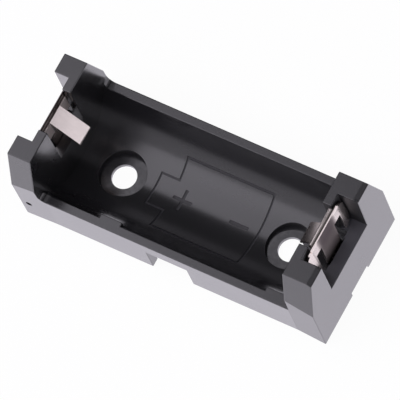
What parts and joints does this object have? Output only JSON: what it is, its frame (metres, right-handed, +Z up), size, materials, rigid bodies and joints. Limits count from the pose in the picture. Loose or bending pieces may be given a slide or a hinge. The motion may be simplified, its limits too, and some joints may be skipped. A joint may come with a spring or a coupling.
{
  "type": "cylindrical cell holder",
  "caption": "Moulded open trough that holds a single short cylindrical cell between folded leaf contacts, with two recessed screw holes in the floor.",
  "frame": {"origin": "middle of the base, on the surface that the holder stands on", "axes": "+X along the trough towards the negative contact, +Y across it, +Z up out of the open top"},
  "size_m": [0.0454, 0.0192, 0.0156],
  "materials": {
    "housing_plastic": "satin black moulding with polished outer faces",
    "contact_plating": "nickel plated spring strip"
  },
  "bodies": {
    "holder": {"housing": "housing_plastic"},
    "positive_leaf": {"positive_contact": "contact_plating"},
    "negative_leaf": {"negative_contact": "contact_plating"}
  },
  "joints": [
    {"name": "positive_spring", "type": "hinge", "parent": "holder", "child": "positive_leaf", "pos_m": [-0.0209, 0, 0.00025], "axis": [0, -1, 0], "range_deg": [0, 2.7], "stiffness_Nm_per_rad": 0.6},
    {"name": "negative_spring", "type": "hinge", "parent": "holder", "child": "negative_leaf", "pos_m": [0.02035, 0, 0.00025], "axis": [0, 1, 0], "range_deg": [0, 2.7], "stiffness_Nm_per_rad": 0.6}
  ]
}
